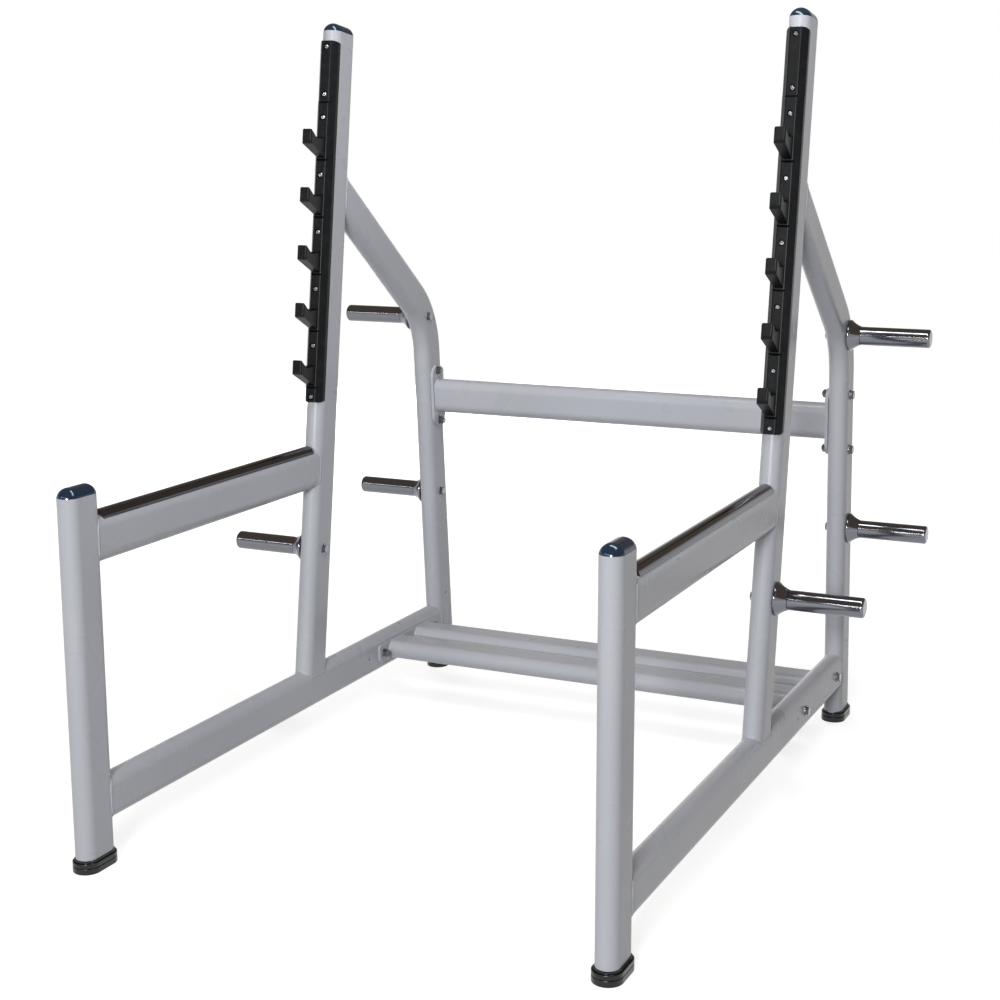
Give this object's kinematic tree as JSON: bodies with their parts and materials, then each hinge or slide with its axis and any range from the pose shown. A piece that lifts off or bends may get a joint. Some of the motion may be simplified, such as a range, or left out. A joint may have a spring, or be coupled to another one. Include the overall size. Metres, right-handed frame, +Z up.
{
  "type": "squat rack",
  "caption": "Free-standing squat rack of flat-oval steel tube with leaning uprights, moulded bar catches, spotter rails and weight pegs.",
  "frame": {"origin": "on the floor, midway between the side frames and midway between the front and rear feet", "axes": "+X to the right seen from the open front, +Y to the back, +Z up; the spotter rails point to -Y"},
  "size_m": [1.648, 1.753, 1.8086],
  "materials": {
    "frame_paint": "satin silver-grey powder coat",
    "guard_plastic": "charcoal moulded plastic, satin",
    "cap_plastic": "navy-black, glossy",
    "boot_rubber": "black, half gloss",
    "chrome": "bright chrome",
    "bright_steel": "zinc-plated steel"
  },
  "bodies": {
    "root": {"front_post_left": "frame_paint", "front_post_right": "frame_paint", "spotter_rail_left": "frame_paint", "spotter_rail_right": "frame_paint", "base_rail_left": "frame_paint", "base_rail_right": "frame_paint", "upright_left": "frame_paint", "upright_right": "frame_paint", "rear_leg_left": "frame_paint", "rear_leg_right": "frame_paint", "post_cap_left": "cap_plastic", "post_cap_right": "cap_plastic", "upright_cap_left": "cap_plastic", "upright_cap_right": "cap_plastic", "front_boot_left": "boot_rubber", "front_boot_right": "boot_rubber", "rear_boot_left": "boot_rubber", "rear_boot_right": "boot_rubber", "wear_strip_left": "chrome", "wear_strip_right": "chrome", "top_guard_left": "guard_plastic", "top_guard_right": "guard_plastic", "bar_catch_1_left": "guard_plastic", "bar_catch_1_right": "guard_plastic", "bar_catch_2_left": "guard_plastic", "bar_catch_2_right": "guard_plastic", "bar_catch_3_left": "guard_plastic", "bar_catch_3_right": "guard_plastic", "bar_catch_4_left": "guard_plastic", "bar_catch_4_right": "guard_plastic", "bar_catch_5_left": "guard_plastic", "bar_catch_5_right": "guard_plastic", "guard_end_left": "guard_plastic", "guard_end_right": "guard_plastic", "guard_screws_left": "bright_steel", "guard_screws_right": "bright_steel", "peg_upright_left": "chrome", "peg_upright_right": "chrome", "peg_leg_upper_left": "chrome", "peg_leg_upper_right": "chrome", "peg_leg_lower_left": "chrome", "peg_leg_lower_right": "chrome", "peg_collars_left": "chrome", "peg_collars_right": "chrome", "peg_bolts_left": "bright_steel", "peg_bolts_right": "bright_steel", "upper_cross_rail": "frame_paint", "lower_front_tube": "frame_paint", "lower_rear_tube": "frame_paint", "upper_end_plate_left": "frame_paint", "upper_end_plate_right": "frame_paint", "lower_end_plate_left": "frame_paint", "lower_end_plate_right": "frame_paint", "upper_rail_bolts": "bright_steel", "upper_rail_nuts": "bright_steel", "lower_tube_bolts": "bright_steel", "lower_tube_nuts": "bright_steel"}
  },
  "joints": []
}
